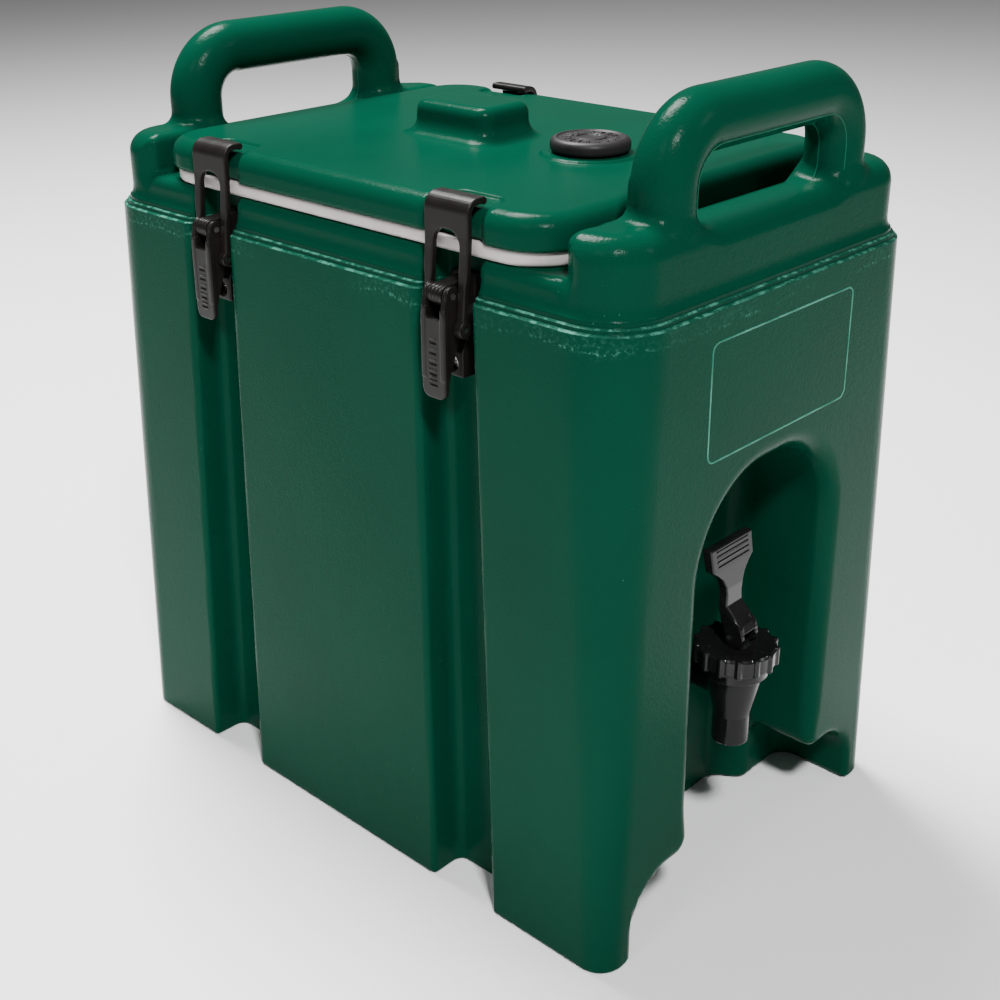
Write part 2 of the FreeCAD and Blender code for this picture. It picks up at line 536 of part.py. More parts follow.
# ---- write --------------------------------------------------------------------
def build():
    parts = {}
    space = foam_space(0)
    parts["body_shell"] = body_shell(space)
    parts["body_foam"] = body_foam(space)
    parts["body_foam_plug"] = disc_plug(0, FILL_Y, UNDER_Z, UNDER_Z + SHELL_T, FILL_R)
    core = lid_foam()
    parts["lid_shell"] = lid_shell(core)
    parts["lid_foam"] = core
    parts["lid_foam_plug"] = disc_plug(LID_FILL[0], LID_FILL[1], PLUG_Z, PLUG_Z + LID_WALL, LID_FILL[2])
    parts["lid_gasket"] = lid_gasket()
    parts["vent_cap"] = vent_cap()
    parts["vent_seal"] = vent_seal()
    for side, side_name in ((-1, "left"), (1, "right")):
        for y, end_name in zip(LATCH_Y, ("front", "rear")):
            name = f"latch_{side_name}_{end_name}_"
            parts[name + "base"] = latch_base(side, y)
            parts[name + "screws"] = latch_screws(side, y)
            parts[name + "lever_pin"] = lever_pin(side, y)
            parts[name + "lever"] = latch_lever(side, y)
            parts[name + "bail"] = latch_bail(side, y)
            parts[name + "bail_pin"] = bail_pin(side, y)
    parts["spigot_body"] = spigot_body()
    parts["spigot_bonnet"] = spigot_bonnet()
    parts["spigot_stem"] = spigot_stem()
    parts["spigot_seat_cup"] = seat_cup()
    parts["spigot_lever_pin"] = spigot_lever_pin()
    parts["spigot_lever"] = spigot_lever()
    parts["spigot_outer_washer"] = washer(RECESS_BACK_Y - 3, RECESS_BACK_Y, 15.0)
    parts["spigot_inner_washer"] = washer(TANK_Y[0], TANK_Y[0] + 2.5, 15.0)
    parts["spigot_lock_nut"] = lock_nut(TANK_Y[0] + 2.5, TANK_Y[0] + 10.5, 27.0)
    return parts


os.makedirs("parts", exist_ok=True)
for node, shape in build().items():
    solids = len(shape.Solids)
    print(f"{node:32s} solids {solids} valid {shape.isValid()} volume {shape.Volume / 1000:9.2f} cm3")
    shape.exportStep(f"parts/{node}.step")
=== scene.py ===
import math

import bpy
import numpy as np
from mathutils import Matrix, Vector


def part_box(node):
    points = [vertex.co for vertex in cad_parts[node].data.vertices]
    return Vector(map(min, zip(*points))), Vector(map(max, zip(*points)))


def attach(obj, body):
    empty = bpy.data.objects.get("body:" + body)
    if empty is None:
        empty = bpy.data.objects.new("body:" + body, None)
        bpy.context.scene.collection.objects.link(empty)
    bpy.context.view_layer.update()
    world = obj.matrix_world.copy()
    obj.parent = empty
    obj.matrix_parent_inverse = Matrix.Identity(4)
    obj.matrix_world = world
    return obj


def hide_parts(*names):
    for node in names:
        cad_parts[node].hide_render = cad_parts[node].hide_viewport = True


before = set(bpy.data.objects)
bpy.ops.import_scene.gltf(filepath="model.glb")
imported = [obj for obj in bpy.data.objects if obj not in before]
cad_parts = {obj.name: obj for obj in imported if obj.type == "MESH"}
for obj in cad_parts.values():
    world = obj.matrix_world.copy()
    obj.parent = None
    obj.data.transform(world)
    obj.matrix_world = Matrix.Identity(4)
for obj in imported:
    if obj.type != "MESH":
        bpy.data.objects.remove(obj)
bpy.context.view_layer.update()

# The looks of an insulated beverage server. Soft moulded shapes are built as distance
# fields, meshed on a grid and pulled onto the surface. Lengths are in millimetres until
# a mesh is made; the origin is the centre of the footprint and the spigot faces -Y.

MM = 0.001


def cad_mm(node):
    """Lowest and highest corner of a CAD node, in millimetres."""
    low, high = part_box(node)
    return np.array(low) / MM, np.array(high) / MM


# ---- driving dimensions -------------------------------------------------------
TOTAL_H = cad_mm("body_shell")[1][2]
HALF_X, HALF_Y = 137.5, 209.5          # footprint at the floor
CORNER_R, FOOT_R = 37.0, 16.0          # wall corners at the ledge and at the floor
FOOT_EDGE_R = 2.2
TAPER, LEDGE_Z = 2.0, 365.0            # the lower body narrows by this to the ledge
STEP_TOPS = (365.0, 367.4)
STEP_INSETS = (2.2, 2.0)
COVE_Z, COVE_INSET = (369.8, 377.0), 2.3
STEP_RISE = 0.9                        # height over which one small step is made
RIM_Z, RIM_ROUND, RIM_FILLET = 385.5, 5.5, 3.0
BLOCK_Z, BLOCK_ROUND, BLOCK_FACE_Y, BLOCK_EDGE_R = 408.5, 13.0, 163.0, 6.0
ROUND_Y, ROUND_SPAN = 158.0, 10.0      # where the top edge's rounding grows to the block's
SILL_Z, SILL_HALF, SILL_ROUND, SILL_CORNER_R = 405.0, 60.0, 16.0, 14.0
GRIP_R, GRIP_X, GRIP_Y = 16.0, 76.0, 182.0
GRIP_BEND_R, GRIP_ROOT_Z = 29.0, BLOCK_Z - 20.0
GRIP_FILLET, GRIP_FILLET_Z = (1.0, 5.5), (394.0, 13.0)
SEAM_LOW_Z, SEAM_R, SEAM_ANGLES = 384.0, 0.32, ((0.0, "middle"), (52.0, "face"))
GROOVE_U, GROOVE_INNER_R, GROOVE_EDGE_R = 114.5, 6.0, (2.5, 4.5)
GROOVE_TOP_Y, GROOVE_FOOT_Y = (-93.0, 99.0), (-103.0, 110.0)
GROOVE_TOP_HALF, GROOVE_FOOT_HALF = 18.5, 23.5
FAR_BELOW = 200.0                      # openings at the floor are cut this far past it
RECESS_HALF, RECESS_TOP, RECESS_ARCH_R, RECESS_BACK_Y, RECESS_ROUND = 62.0, 267.0, 54.0, -143.0, 14.0
NEST_HALF, NEST_TOP, NEST_R, NEST_DEPTH, NEST_ROUND = 112.0, 47.0, 30.0, 49.0, 12.0
HOLLOW_BLEND = 11.0                    # where the recess runs into the front nest
UNDER_Z, UNDER_HALF_X, UNDER_Y, UNDER_R = 10.0, 100.0, (-128.0, 150.0), 14.0
TANK_HALF, TANK_Y, TANK_FLOOR_Z, TANK_R = (84.0, 88.0), (-104.0, 138.0), 104.0, 26.0
TANK_MID_Y, TANK_HALF_Y = (TANK_Y[0] + TANK_Y[1]) / 2, (TANK_Y[1] - TANK_Y[0]) / 2
BORE_R, BORE_Y, BORE_HALF = 10.1, -123.0, 40.0
LATCH_Y = (-94.0, 96.0)
LID_HALF_X, LID_HALF_Y, LID_R = 129.0, 156.0, 30.0
LID_Z0, LID_Z1, LID_ROUND = 393.5, 411.5, 10.0
LID_BLOCK_Y, LID_BLOCK_HALF, LID_BLOCK_Z, LID_BLOCK_DRAFT = 15.0, (21.0, 30.0), 431.0, 0.07
NOTCH_U, NOTCH_HALF = 124.5, 19.5      # where a hook passes the lid's edge
POCKET_U, POCKET_HALF, POCKET_Z = 105.0, 17.5, 409.6
PLUG_Z, PLUG_GAP = 379.0, 1.5
VENT_Y, VENT_BOSS_R, VENT_BOSS_Z, VENT_HOLE_R = -75.0, 27.0, 413.0, 6.0
SPIGOT_Y, CAM_Z, SHANK_Z, SHANK_R = -191.0, 153.3, 119.0, 10.0
OUTLINE_Z, OUTLINE_HALF, OUTLINE_R = (284.4, 348.3), 65.0, 5.0


# ---- distance fields ----------------------------------------------------------
def rect2(a, b, half_a, half_b, r):
    """Distance to a rounded rectangle centred on zero."""
    qa, qb = np.abs(a) - (half_a - r), np.abs(b) - (half_b - r)
    return np.hypot(np.maximum(qa, 0), np.maximum(qb, 0)) + np.minimum(np.maximum(qa, qb), 0) - r


def both(a, b, r):
    """Intersection, its edge rounded by r."""
    return np.minimum(-r, np.maximum(a, b)) + np.hypot(np.maximum(a + r, 0), np.maximum(b + r, 0))


def either(a, b, r):
    """Union, with a fillet of r."""
    return np.maximum(r, np.minimum(a, b)) - np.hypot(np.maximum(r - a, 0), np.maximum(r - b, 0))


def less(a, b, r):
    """a with b taken away, the edges rounded by r."""
    return both(a, -b, r)


def smooth(t):
    t = np.clip(t, 0.0, 1.0)
    return t * t * (3 - 2 * t)


def poly2(a, b, points):
    """Distance to a closed polygon in the plane of a and b."""
    near, inside = None, None
    for (a0, b0), (a1, b1) in zip(points, points[1:] + points[:1]):
        ea, eb = a1 - a0, b1 - b0
        t = np.clip(((a - a0) * ea + (b - b0) * eb) / (ea * ea + eb * eb), 0, 1)
        d = (a - a0 - ea * t) ** 2 + (b - b0 - eb * t) ** 2
        if eb == 0:
            crosses = np.zeros(np.broadcast(a, b).shape, bool)
        else:
            crosses = ((b0 <= b) != (b1 <= b)) & (a < a0 + ea * (b - b0) / eb)
        near = d if near is None else np.minimum(near, d)
        inside = crosses if inside is None else inside ^ crosses
    return np.where(inside, -1, 1) * np.sqrt(near)


def soft_poly2(a, b, points, r):
    """Polygon with its outer corners rounded by r; the points are the sharp outline."""
    return poly2(a, b, [tuple(p) for p in shrunk(points, r)]) - r


def shrunk(points, r):
    """The polygon moved in by r on every side."""
    p = np.array(points, float)
    area = np.sum(p[:, 0] * np.roll(p[:, 1], -1) - np.roll(p[:, 0], -1) * p[:, 1])
    if area < 0:
        p = p[::-1]
    before, after = p - np.roll(p, 1, 0), np.roll(p, -1, 0) - p
    n0 = np.stack([-before[:, 1], before[:, 0]], 1) / np.linalg.norm(before, axis=1)[:, None]
    n1 = np.stack([-after[:, 1], after[:, 0]], 1) / np.linalg.norm(after, axis=1)[:, None]
    k = 1 + np.sum(n0 * n1, 1)
    return p + r * (n0 + n1) / k[:, None]


# ---- meshing ------------------------------------------------------------------
CORNERS = np.array([(i, j, k) for i in (0, 1) for j in (0, 1) for k in (0, 1)])
EDGES = [(a, b) for a in range(8) for b in range(a + 1, 8) if np.abs(CORNERS[a] - CORNERS[b]).sum() == 1]
GRAD_STEP = 0.04
MAX_PULL = 0.8


def slope(field, p):
    """Gradient of a field at the points p."""
    g = np.empty_like(p)
    for axis in range(3):
        step = np.zeros(3)
        step[axis] = GRAD_STEP
        g[:, axis] = (field(*(p + step).T) - field(*(p - step).T)) / (2 * GRAD_STEP)
    return g


def pulled(field, p, passes):
    """The points moved onto the surface of a field."""
    for _ in range(passes):
        g = slope(field, p)
        move = g * (field(*p.T) / np.maximum((g * g).sum(1), 0.05))[:, None]
        length = np.linalg.norm(move, axis=1)[:, None]
        p = p - move * np.minimum(1, MAX_PULL / np.maximum(length, 1e-9))
    return p


def contour(field, xs, ys, zs, warp=None):
    """Points and quads of the surface where a field is zero, one point to a grid cell."""
    gx, gy = np.meshgrid(xs, ys, indexing="ij")
    if warp:
        gx, gy = warp(gx, gy)
    f = field(gx[:, :, None], gy[:, :, None], zs[None, None, :])
    inside = f < 0
    count = sum(inside[i:i + f.shape[0] - 1, j:j + f.shape[1] - 1, k:k + f.shape[2] - 1].astype(np.int8)
                for i, j, k in CORNERS)
    cells = np.argwhere((count > 0) & (count < 8))
    index = np.full(count.shape, -1, np.int64)
    index[tuple(cells.T)] = np.arange(len(cells))
    values = np.stack([f[tuple((cells + c).T)] for c in CORNERS], 1)
    total, hits = np.zeros((len(cells), 3)), np.zeros(len(cells))
    for a, b in EDGES:
        va, vb = values[:, a], values[:, b]
        cut = (va < 0) != (vb < 0)
        t = np.where(cut, va / np.where(cut, va - vb, 1), 0)[:, None]
        total += np.where(cut[:, None], CORNERS[a] * (1 - t) + CORNERS[b] * t, 0)
        hits += cut
    local = total / hits[:, None]
    i, j, k = cells.T
    s, t, w = local.T
    flat = [sum(g[i + a, j + b] * np.where(a, s, 1 - s) * np.where(b, t, 1 - t)
                for a in (0, 1) for b in (0, 1)) for g in (gx, gy)]
    points = np.stack(flat + [zs[k] * (1 - w) + zs[k + 1] * w], 1)
    quads = []
    for axis in range(3):
        ahead = [slice(None)] * 3
        here = [slice(None)] * 3
        ahead[axis], here[axis] = slice(1, None), slice(None, -1)
        change = inside[tuple(here)] != inside[tuple(ahead)]
        at = np.argwhere(change)
        b, c = (axis + 1) % 3, (axis + 2) % 3
        at = at[(at[:, b] > 0) & (at[:, c] > 0) & (at[:, b] < count.shape[b]) & (at[:, c] < count.shape[c])]
        ring = []
        for db, dc in ((-1, -1), (0, -1), (0, 0), (-1, 0)):
            cell = at.copy()
            cell[:, b] += db
            cell[:, c] += dc
            ring.append(index[tuple(cell.T)])
        ring = np.stack(ring, 1)
        out = inside[tuple(at.T)]
        quads.append(np.where(out[:, None], ring, ring[:, ::-1]))
    return points, np.concatenate(quads)


def steps(*spans):
    """Grid lines from (start, end, spacing) spans laid end to end."""
    lines = []
    for start, end, gap in spans:
        n = max(1, round((end - start) / gap))
        lines.append(np.linspace(start, end, n, endpoint=False))
    return np.concatenate(lines + [np.array([spans[-1][1]])])


def make_object(name, points, faces, normals=None):
    """Mesh object from points in millimetres."""
    mesh = bpy.data.meshes.new(name)
    mesh.from_pydata((np.asarray(points, float) * MM).tolist(), [], [list(f) for f in faces])
    mesh.polygons.foreach_set("use_smooth", np.ones(len(mesh.polygons), bool))
    mesh.update()
    if normals is not None:
        mesh.normals_split_custom_set_from_vertices(normals.tolist())
        mesh.update()
    obj = bpy.data.objects.new(name, mesh)
    bpy.context.scene.collection.objects.link(obj)
    return obj


def mesh_points(mesh):
    co = np.empty(len(mesh.vertices) * 3, np.float32)
    mesh.vertices.foreach_get("co", co)
    return co.reshape(-1, 3).astype(float) / MM


def thinned(points, faces, ratio):
    """Collapse edges, most of them where the surface is flat."""
    draft = make_object("draft", points, faces)
    modifier = draft.modifiers.new("thin", "DECIMATE")
    modifier.ratio = ratio
    bpy.context.view_layer.update()
    mesh = bpy.data.meshes.new_from_object(draft.evaluated_get(bpy.context.evaluated_depsgraph_get()))
    points, faces = mesh_points(mesh), [tuple(p.vertices) for p in mesh.polygons]
    old = draft.data
    bpy.data.objects.remove(draft)
    bpy.data.meshes.remove(old)
    bpy.data.meshes.remove(mesh)
    return points, faces


def shaped(field, grid, warp=None, keep=1.0):
    """Points, faces and normals of the surface where a field is zero."""
    points, faces = contour(field, *grid, warp=warp)
    points = pulled(field, points, 3)
    if keep < 1:
        points, faces = thinned(points, faces, keep)
        points = pulled(field, points, 1)
    normals = slope(field, points)
    normals /= np.maximum(np.linalg.norm(normals, axis=1), 1e-9)[:, None]
    return points, faces, normals


def cube_grid(low, high, gap):
    """Even grid lines around a box, a little past it on every side."""
    return [steps((a - 1.6 * gap, b + 1.6 * gap, gap)) for a, b in zip(low, high)]


def on_side(shape, side, y):
    """A shape made for the +X side and y = 0, put at a latch."""
    points, faces, normals = shape
    turn = np.array([side, 1.0, 1.0])
    return points * turn + np.array([0, y, 0]), [f[::side] for f in faces], normals * turn


def line2(a, b, points):
    """Distance to an open polyline in the plane of a and b."""
    near = None
    for (a0, b0), (a1, b1) in zip(points, points[1:]):
        ea, eb = a1 - a0, b1 - b0
        t = np.clip(((a - a0) * ea + (b - b0) * eb) / (ea * ea + eb * eb), 0, 1)
        d = (a - a0 - ea * t) ** 2 + (b - b0 - eb * t) ** 2
        near = d if near is None else np.minimum(near, d)
    return np.sqrt(near)


def arc(a, b, r, start, end, n=8):
    """Points on a circle, angles in degrees."""
    return [(a + r * math.cos(math.radians(start + (end - start) * k / n)),
             b + r * math.sin(math.radians(start + (end - start) * k / n))) for k in range(n + 1)]


def rounded_loop(half_a, half_b, r, n=10):
    """Points round a rounded rectangle centred on zero, counter-clockwise."""
    loop = []
    for ca, cb, start in ((1, 1, 0), (-1, 1, 90), (-1, -1, 180), (1, -1, 270)):
        loop += arc(ca * (half_a - r), cb * (half_b - r), r, start, start + 90, n)
    return loop


def filled_in(loop, gap):
    """A closed loop with extra points so that none are more than gap apart."""
    out = []
    for (a0, b0), (a1, b1) in zip(loop, loop[1:] + loop[:1]):
        n = max(1, math.ceil(math.hypot(a1 - a0, b1 - b0) / gap))
        out += [(a0 + (a1 - a0) * k / n, b0 + (b1 - b0) * k / n) for k in range(n)]
    return out


def swept(name, loop, normal, section):
    """Closed strip: section points (outward, along the normal) carried round a flat 3-D loop."""
    loop, normal = np.array(loop, float), np.array(normal, float)
    ahead = np.roll(loop, -1, 0) - np.roll(loop, 1, 0)
    out = np.cross(ahead, normal)
    out /= np.linalg.norm(out, axis=1)[:, None]
    points = [p + s * o + h * normal for p, o in zip(loop, out) for s, h in section]
    n, m = len(loop), len(section)
    faces = [(i * m + k, i * m + (k + 1) % m, (i + 1) % n * m + (k + 1) % m, (i + 1) % n * m + k)
             for i in range(n) for k in range(m)]
    return make_object(name, points, faces)


# ---- body ---------------------------------------------------------------------
def wall_inset(z):
    """How far the outer wall lies inside the footprint at height z."""
    inset = TAPER * np.clip(z / LEDGE_Z, 0, 1)
    for top, depth in zip(STEP_TOPS, STEP_INSETS):
        inset = inset + depth * smooth((z - top) / STEP_RISE + 0.5)
    t = np.clip((z - COVE_Z[0]) / (COVE_Z[1] - COVE_Z[0]), 0, 1)
    return inset + COVE_INSET * np.sqrt(1 - (1 - t) ** 2)


def groove_field(x, y, z):
    """The latch grooves, as what is taken away."""
    along = np.clip((LEDGE_Z - z) / LEDGE_Z, -0.2, 1.1)
    cut = None
    for top, foot in zip(GROOVE_TOP_Y, GROOVE_FOOT_Y):
        half = GROOVE_TOP_HALF + (GROOVE_FOOT_HALF - GROOVE_TOP_HALF) * along
        side = np.abs(y - top - (foot - top) * along) - half
        one = both(side, GROOVE_U - np.abs(x), GROOVE_INNER_R)
        cut = one if cut is None else np.minimum(cut, one)
    return cut


def doorway(x, z, half, top, r):
    """Opening with two rounded top corners, running down past the floor."""
    middle = (top - FAR_BELOW) / 2
    return rect2(x, z - middle, half, top - middle, r)


def hollow_field(x, y, z):
    """Front recess and the two stacking nests, as what is taken away."""
    recess = doorway(x, z, RECESS_HALF, RECESS_TOP, RECESS_ARCH_R)
    recess = both(recess, y - RECESS_BACK_Y, RECESS_ROUND)
    nest = doorway(x, z, NEST_HALF, NEST_TOP, NEST_R)
    front = both(nest, y + HALF_Y - NEST_DEPTH, NEST_ROUND)
    rear = both(nest, HALF_Y - NEST_DEPTH - y, NEST_ROUND)
    return np.minimum(either(recess, front, HOLLOW_BLEND), rear)


def tank_plan(x, y, half_x, gap):
    """The tank's rounded rectangle, smaller by gap."""
    return rect2(x, y - TANK_MID_Y, half_x - gap, TANK_HALF_Y - gap, TANK_R - gap)


def body_field(x, y, z):
    """Body shell: wall, end blocks with their sills, grips, grooves, hollows and tank."""
    v = np.abs(y)
    up = np.clip(z / LEDGE_Z, 0, 1)
    wall = rect2(x, y, HALF_X, HALF_Y, FOOT_R + (CORNER_R - FOOT_R) * up) + wall_inset(z)
    blocks = both(z - BLOCK_Z, BLOCK_FACE_Y - v, BLOCK_EDGE_R)
    opening = rect2(x, z - SILL_Z - SILL_HALF, SILL_HALF, SILL_HALF, SILL_CORNER_R)
    blocks = less(blocks, opening, SILL_ROUND)
    top = either(z - RIM_Z, blocks, RIM_FILLET)
    body = both(wall, top, RIM_ROUND + (BLOCK_ROUND - RIM_ROUND) * smooth((v - ROUND_Y) / ROUND_SPAN))
    arch_half = (TOTAL_H - GRIP_R - LEDGE_Z) / 2
    line = rect2(x, z - LEDGE_Z - arch_half, GRIP_X, arch_half, GRIP_BEND_R)
    grip = np.maximum(np.hypot(line, v - GRIP_Y) - GRIP_R, GRIP_ROOT_Z - z)
    fillet = GRIP_FILLET[0] + GRIP_FILLET[1] * smooth((z - GRIP_FILLET_Z[0]) / GRIP_FILLET_Z[1])
    body = either(body, grip, fillet)
    body = both(body, -z, FOOT_EDGE_R)
    body = less(body, groove_field(x, y, z), GROOVE_EDGE_R[0] + (GROOVE_EDGE_R[1] - GROOVE_EDGE_R[0]) * up)
    body = less(body, hollow_field(x, y, z), 5.0 + 6.5 * smooth((z - 35) / 50))
    under_y = (UNDER_Y[0] + UNDER_Y[1]) / 2
    under = rect2(x, y - under_y, UNDER_HALF_X, (UNDER_Y[1] - UNDER_Y[0]) / 2, UNDER_R)
    body = less(body, both(under, z - UNDER_Z, 5.0), 2.5)
    along = (z - TANK_FLOOR_Z) / (RIM_Z - TANK_FLOOR_Z)
    half = TANK_HALF[0] + (TANK_HALF[1] - TANK_HALF[0]) * along
    tank = tank_plan(x, y, TANK_HALF[1], 0.0) + TANK_HALF[1] - half
    body = less(body, both(tank, TANK_FLOOR_Z - z, 14.0), 2.5)
    bore = np.hypot(x, z - SHANK_Z) - BORE_R
    bore = np.maximum(bore, np.abs(y - BORE_Y) - BORE_HALF)
    return np.maximum(body, -bore)


BODY_GAP = 2.4
WALL_ZONE = 12.0                       # extra room that the warp gives to the outer wall


def wall_warp(x, y):
    """Crowds the grid lines near the outer wall, where the small steps are."""
    half_x, half_y, r = HALF_X + WALL_ZONE, HALF_Y + WALL_ZONE, CORNER_R + WALL_ZONE
    depth = -rect2(x, y, half_x, half_y, r)
    wanted = np.interp(depth, (-10, 0, 30, 48, 500), (-14, -4, 8, 36, 488))
    move = wanted - depth
    h = 0.01
    nx = (rect2(x + h, y, half_x, half_y, r) - rect2(x - h, y, half_x, half_y, r)) / (2 * h)
    ny = (rect2(x, y + h, half_x, half_y, r) - rect2(x, y - h, half_x, half_y, r)) / (2 * h)
    return x - nx * move, y - ny * move


def mirrored(positive):
    return np.concatenate([-positive[::-1], positive[1:]])


def build_body():
    xs = mirrored(steps((0.0, HALF_X + WALL_ZONE + 2, BODY_GAP)))
    ys = mirrored(steps((0.0, HALF_Y + WALL_ZONE + 2, BODY_GAP)))
    zs = steps((-2.0, 14.0, 1.6), (14.0, 362.5, 1.3 * BODY_GAP), (362.5, 371.0, 0.5), (371.0, 378.0, 1.0),
               (378.0, TOTAL_H + 2, BODY_GAP * 0.8))
    return make_object("moulded_body", *shaped(body_field, (xs, ys, zs), warp=wall_warp, keep=0.5))


# ---- lid ----------------------------------------------------------------------
def lid_field(x, y, z):
    """Lid shell: raised block, vent boss, hook pockets and the plug that sits in the tank."""
    u = np.abs(x)
    edge = rect2(x, y, LID_HALF_X, LID_HALF_Y, LID_R)
    for centre in LATCH_Y:
        notch = both(NOTCH_U - u, np.abs(y - centre) - NOTCH_HALF, 5.0)
        edge = less(edge, notch, 4.0)
    lid = both(both(edge, z - LID_Z1, LID_ROUND), LID_Z0 - z, 2.5)
    flare = LID_BLOCK_DRAFT * np.clip(LID_BLOCK_Z - z, 0, 20)
    block = rect2(x, y - LID_BLOCK_Y, LID_BLOCK_HALF[0] + flare, LID_BLOCK_HALF[1], 9.0)
    block = both(block, z - LID_BLOCK_Z, 6.0)
    lid = either(lid, block, 9.0)
    boss = both(np.hypot(x, y - VENT_Y) - VENT_BOSS_R, z - VENT_BOSS_Z, 1.0)
    lid = either(lid, boss, 2.0)
    for centre in LATCH_Y:
        pocket = both(both(POCKET_U - u, np.abs(y - centre) - POCKET_HALF, 8.0), POCKET_Z - z, 2.0)
        lid = less(lid, pocket, 1.5)
    plug = tank_plan(x, y, TANK_HALF[1], PLUG_GAP)
    plug = both(both(plug, PLUG_Z - z, 3.0), z - LID_Z0 - 4, 0.5)
    lid = np.minimum(lid, plug)
    return np.maximum(lid, VENT_HOLE_R - np.hypot(x, y - VENT_Y))


def build_lid():
    gap = 2.0
    xs = mirrored(steps((0.0, 102.0, gap), (102.0, LID_HALF_X + 2, gap * 0.6)))
    ys = steps((-LID_HALF_Y - 2, LID_HALF_Y + 2, gap * 0.75))
    zs = steps((PLUG_Z - 2, 391.0, 2.4), (391.0, 414.5, 1.0), (414.5, 433.0, 1.5))
    return make_object("moulded_lid", *shaped(lid_field, (xs, ys, zs), keep=0.5))


# ---- small moulded pieces -----------------------------------------------------
PIVOT, JOINT = (137.0, 367.0), (134.0, 350.0)
TONGUE_HALF, LEVER_HALF, BAIL_HALF, WINDOW_HALF = 4.8, 8.3, 15.0, 9.1
LEVER_FACE, LEVER_T, PIN_R = 143.5, 3.2, 1.6
FINE = 0.62


def eye(u, v, z, centre, r, low, high):
    """Knuckle round a pin, from low to high along it, with shallow rings."""
    radius = r + 0.3 * np.cos((v - low) * 2 * math.pi / 2.4)
    round_ = np.hypot(u - centre[0], z - centre[1]) - radius
    return both(round_, np.abs(v - (low + high) / 2) - (high - low) / 2, 0.5)


def base_field(u, v, z):
    """Latch base: back plate, block, tongue and knuckle."""
    w = np.abs(v)
    plate = both(both(rect2(v, z - 347, 13.0, 27.0, 4.0), u - 118.0, 1.2), 114.4 - u, 0.3)
    block = [(112.0, 322), (130.5, 322), (130.5, 336), (127, 342), (127, 356), (112.0, 360)]
    block = both(soft_poly2(u, z, block, 1.2), w - 8.2, 1.0)
    tongue = [(112.0, 350), (126, 350), (PIVOT[0] + 2, 362.8), (PIVOT[0], 371.8), (112.0, 374)]
    tongue = both(soft_poly2(u, z, tongue, 1.5), w - TONGUE_HALF, 0.6)
    knuckle = eye(u, v, z, PIVOT, 5.0, -TONGUE_HALF, TONGUE_HALF)
    base = either(plate, np.maximum(either(block, tongue, 1.5), 114.4 - u), 1.5)
    base = either(base, knuckle, 0.6)
    for screw in (329.0, 346.5):
        bore = both(np.hypot(v, z - screw) - 4.6, 124.0 - u, 0.3)
        base = less(base, bore, 0.5)
    return np.maximum(base, PIN_R - np.hypot(u - PIVOT[0], z - PIVOT[1]))


def lever_field(u, v, z):
    """Latch lever: bowed plate with ribs, two cheeks and two knuckles."""
    w = np.abs(v)
    bow = 0.00035 * (z - 340.0) ** 2
    plate = both(LEVER_FACE - LEVER_T - u - bow, u + bow - LEVER_FACE, 1.0)
    plate = both(plate, rect2(v, z - 337.2, LEVER_HALF, 24.2, 5.2), 0.9)
    slot = both(both(w - 5.0, 355.6 - z, 1.2), z - 380, 1.0)
    plate = less(plate, slot, 0.5)
    cheek = [(140.5, 322), (143.3, 324), (143.3, 361), (PIVOT[0] + 4.4, PIVOT[1] + 1.5),
             (PIVOT[0], PIVOT[1] + 4.4), (PIVOT[0] - 4.4, PIVOT[1]),
             (JOINT[0] - 3.9, JOINT[1] + 1), (JOINT[0] - 2.8, JOINT[1] - 3.3)]
    cheek = both(soft_poly2(u, z, cheek, 1.0), np.abs(w - 6.85) - 1.45, 0.5)
    knuckles = eye(u, w, z, PIVOT, 4.7, 5.4, LEVER_HALF)
    lever = either(either(plate, cheek, 1.0), knuckles, 0.4)
    rib = np.abs(np.mod(z - 320.0 + 1.4, 2.8) - 1.4) - 0.55
    rib = np.maximum(np.maximum(rib, np.abs(z - 333.0) - 14.0), w - 2.6)
    raised = both(rib, u - 143.95, 0.35)
    lever = np.minimum(lever, np.maximum(raised, 142 - u))
    for centre in (PIVOT, JOINT):
        lever = np.maximum(lever, 1.62 - np.hypot(u - centre[0], z - centre[1]))
    return lever


def bail_field(u, v, z):
    """Hook bail: bent strap with a long window, and two hubs."""
    w = np.abs(v)
    strap = [(134.6, 349.5), (131.6, 388.0), (131.3, 396.0), (131.25, 407.5)]
    strap += arc(125.35, 407.5, 5.9, 0, 90)[1:] + [(120.9, 413.4)]
    bail = line2(u, z, strap) - 1.78
    bail = either(bail, np.hypot(u - 120.7, z - 412.6) - 1.5, 0.8)
    narrow = BAIL_HALF - 0.8 * smooth((378.0 - z) / 6.0)
    bail = both(bail, w - narrow, 0.9)
    window = rect2(v, z - 363.0, WINDOW_HALF, 36.0, 8.2)
    bail = less(bail, window, 0.8)
    hub = both(np.hypot(u - JOINT[0], z - JOINT[1]) - 4.4, np.abs(w - 11.65) - 2.5, 0.6)
    bail = either(bail, hub, 1.0)
    return np.maximum(bail, PIN_R - np.hypot(u - JOINT[0], z - JOINT[1]))


